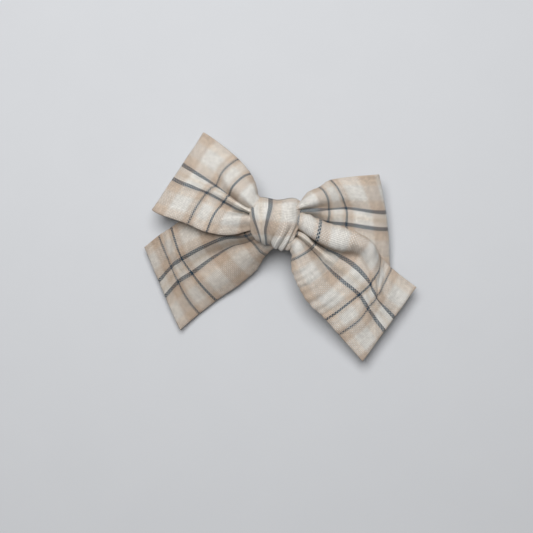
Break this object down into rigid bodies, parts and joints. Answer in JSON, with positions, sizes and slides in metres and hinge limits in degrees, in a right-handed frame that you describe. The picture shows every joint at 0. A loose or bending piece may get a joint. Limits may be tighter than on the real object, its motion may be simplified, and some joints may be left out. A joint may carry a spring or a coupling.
{
  "type": "hair bow",
  "caption": "Plaid fabric hair bow with two loops, two tails and a tied knot, glued to a ribbon-lined sprung alligator clip.",
  "frame": {"origin": "on the clip's jaw line, straight behind the middle of the knot, where a lock of hair is gripped", "axes": "+X to the viewer's right along the clip, +Y up, +Z out of the bow's front towards the viewer"},
  "size_m": [0.1008, 0.0848, 0.023],
  "materials": {
    "plaid_cloth": "washed linen and cotton plain weave, cream, tan and white plaid with thin grey-blue double stripes",
    "knot_cloth": "the same plaid cloth, folded narrow",
    "thread": "matt spun polyester sewing thread",
    "hot_glue": "set hot-melt glue, cloudy",
    "clip_steel": "nickel-plated stamped sheet steel",
    "spring_steel": "drawn spring wire",
    "grosgrain": "cream grosgrain ribbon with cross ribs"
  },
  "bodies": {
    "bow": {"lower_left_tail": "plaid_cloth", "upper_right_loop": "plaid_cloth", "upper_left_loop": "plaid_cloth", "lower_right_tail": "plaid_cloth", "gathered_waist": "plaid_cloth", "gathering_thread": "thread", "knot_wrap": "knot_cloth", "knot_end_glue": "hot_glue", "clip_glue_pad": "hot_glue", "clip_top_lever": "clip_steel", "clip_pivot_pin": "clip_steel", "clip_torsion_spring": "spring_steel", "top_ribbon_lining": "grosgrain"},
    "lower_jaw": {"clip_bottom_lever": "clip_steel", "bottom_ribbon_lining": "grosgrain"}
  },
  "joints": [
    {"name": "jaw_pivot", "type": "hinge", "parent": "bow", "child": "lower_jaw", "pos_m": [0.007, 0, -0.002], "axis": [0, -1, 0], "range_deg": [0, 20], "stiffness_Nm_per_rad": 0.05, "springref_deg": -6.88, "deforming": ["clip_torsion_spring"]}
  ]
}
